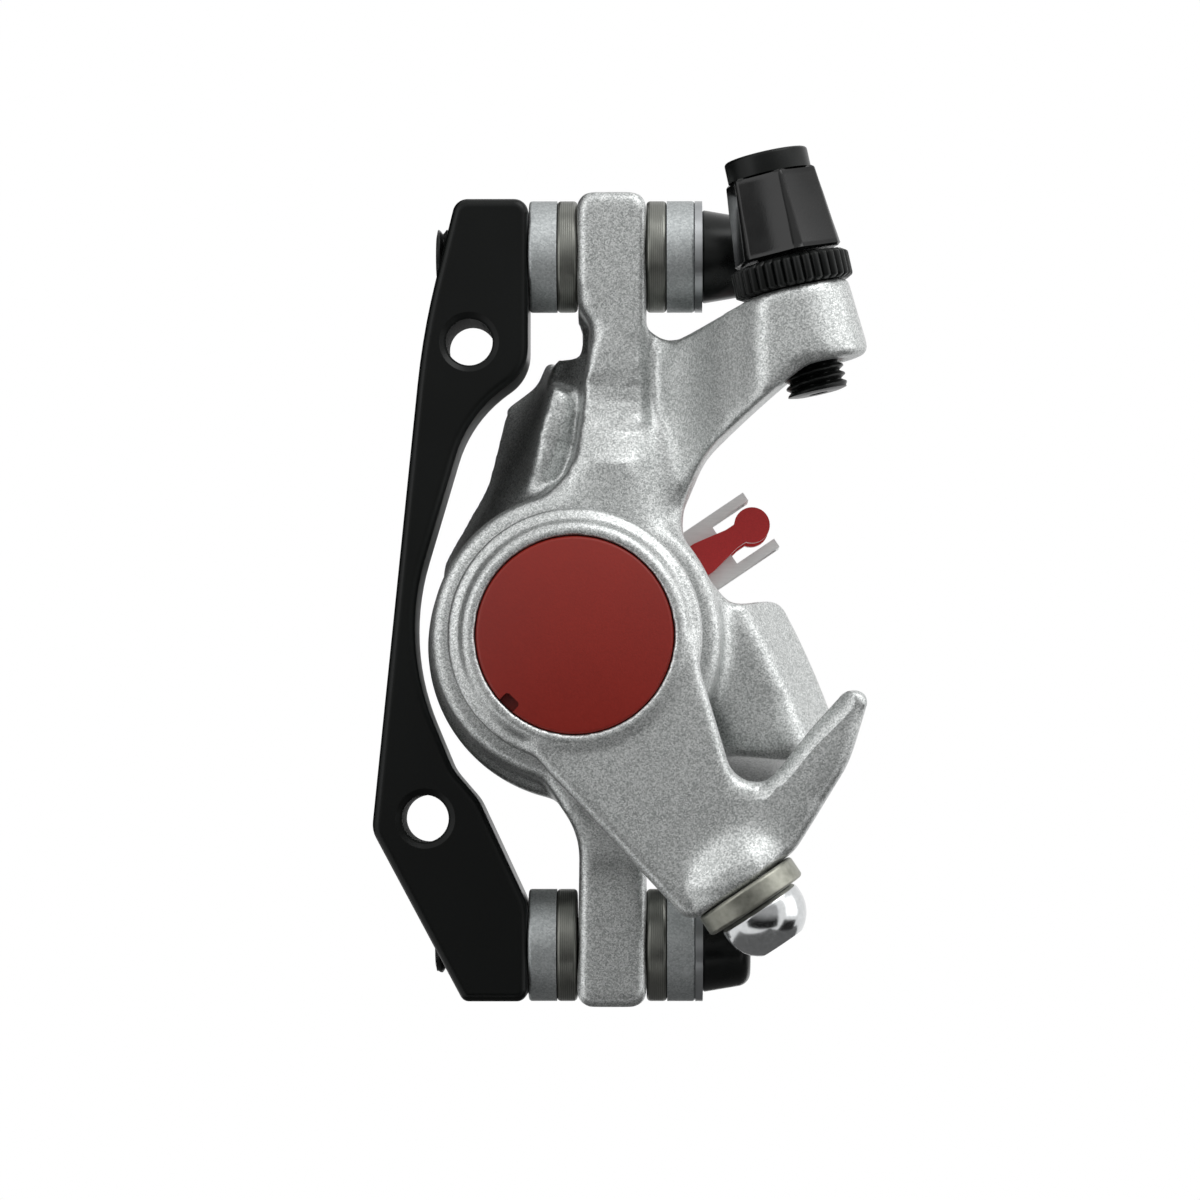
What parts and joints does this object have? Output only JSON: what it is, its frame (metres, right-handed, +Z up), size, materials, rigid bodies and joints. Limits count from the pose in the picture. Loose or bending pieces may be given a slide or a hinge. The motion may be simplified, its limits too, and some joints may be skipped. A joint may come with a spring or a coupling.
{
  "type": "disc brake caliper",
  "caption": "Cable-pulled bicycle disc brake caliper: cast body with ball-ramp lever, pads, barrel adjuster and a frame bracket.",
  "frame": {"origin": "midway between the two frame tab holes, on the bracket's outboard face", "axes": "+X from the bracket towards the caliper, +Y inboard along the rotor axis, +Z up along the bracket"},
  "size_m": [0.0524, 0.0516, 0.0907],
  "materials": {
    "cast_silver": "cast aluminium under silver metallic paint",
    "black_anodised": "satin black anodised aluminium",
    "black_steel": "black oxide steel",
    "plain_steel": "plain machined steel",
    "blasted_steel": "blasted, plated steel",
    "dark_steel": "turned dark steel",
    "red_moulding": "moulded red nylon",
    "bright_chrome": "polished chromium plate",
    "nickel_steel": "nickel plated steel",
    "spring_steel": "bright spring steel",
    "seal_rubber": "black rubber",
    "red_plate": "red painted steel",
    "friction_lining": "pressed resin and metal fibre",
    "black_moulding": "moulded black nylon"
  },
  "bodies": {
    "caliper": {"caliper_body": "cast_silver", "mounting_bracket": "black_anodised", "mount_bolts": "black_steel", "head_washers": "plain_steel", "cup_washers": "blasted_steel", "ball_washers": "dark_steel", "spindle_seal": "seal_rubber", "thrust_washer": "plain_steel", "inboard_plug": "black_anodised", "return_spring": "spring_steel", "pad_spring": "spring_steel"},
    "lever": {"lever_arm": "cast_silver", "lever_cap": "red_moulding", "lever_bolt": "black_steel", "lever_washer": "plain_steel", "pinch_bolt": "bright_chrome", "pinch_washer": "nickel_steel", "drive_cam": "plain_steel"},
    "ball_set": {"bearing_balls": "bright_chrome", "ball_cage": "black_moulding"},
    "outboard_pad": {"pressure_cam": "plain_steel", "outboard_plate": "red_plate", "outboard_lining": "friction_lining"},
    "inboard_pad": {"inboard_plate": "red_plate", "inboard_lining": "friction_lining"},
    "foot_screw": {"adjuster_screw": "plain_steel"},
    "knob": {"adjuster_knob": "red_moulding"},
    "barrel_stem": {"barrel_stem": "black_anodised"},
    "barrel_grip": {"barrel_grip": "black_moulding"},
    "lock_ring": {"lock_ring": "black_anodised"}
  },
  "joints": [
    {"name": "lever_swing", "type": "hinge", "parent": "caliper", "child": "lever", "pos_m": [0.01375, 0, -0.0062], "axis": [0, -1, 0], "range_deg": [0, 45], "stiffness_Nm_per_rad": 0.2, "springref_deg": -34.38, "deforming": ["return_spring"]},
    {"name": "cage_turn", "type": "hinge", "parent": "caliper", "child": "ball_set", "pos_m": [0.01375, 0, -0.0062], "axis": [0, -1, 0], "range_deg": [0, 22.5]},
    {"name": "outboard_pad_advance", "type": "slide", "parent": "caliper", "child": "outboard_pad", "axis": [0, 1, 0], "range_m": [0, 0.0014], "deforming": ["pad_spring"]},
    {"name": "adjuster_turn", "type": "hinge", "parent": "caliper", "child": "knob", "pos_m": [0.01375, 0, -0.0062], "axis": [0, -1, 0], "range_deg": [0, 360]},
    {"name": "inboard_pad_advance", "type": "slide", "parent": "caliper", "child": "inboard_pad", "axis": [0, -1, 0], "range_m": [0, 0.001], "deforming": ["pad_spring"]},
    {"name": "foot_screw_turn", "type": "hinge", "parent": "inboard_pad", "child": "foot_screw", "pos_m": [0.01375, 0, -0.0062], "axis": [0, -1, 0], "range_deg": [0, 360]},
    {"name": "barrel_out", "type": "slide", "parent": "caliper", "child": "barrel_stem", "axis": [-0.2164, 0, 0.9763], "range_m": [0, 0.003]},
    {"name": "barrel_turn", "type": "hinge", "parent": "barrel_stem", "child": "barrel_grip", "pos_m": [0.0369, -0.0069, 0.0302], "axis": [-0.2164, 0, 0.9763], "range_deg": [0, 1080]},
    {"name": "lock_ring_turn", "type": "hinge", "parent": "caliper", "child": "lock_ring", "pos_m": [0.0369, -0.0069, 0.0302], "axis": [-0.2164, 0, 0.9763], "range_deg": [0, 360]}
  ],
  "couplings": [
    {"joint": "cage_turn", "follows": "lever_swing", "ratio": 0.5},
    {"joint": "outboard_pad_advance", "follows": "lever_swing", "m_per_rad": 0.001782},
    {"joint": "adjuster_turn", "follows": "inboard_pad_advance", "rad_per_m": 6280},
    {"joint": "foot_screw_turn", "follows": "inboard_pad_advance", "rad_per_m": 6280},
    {"joint": "barrel_turn", "follows": "barrel_out", "rad_per_m": 6280}
  ]
}
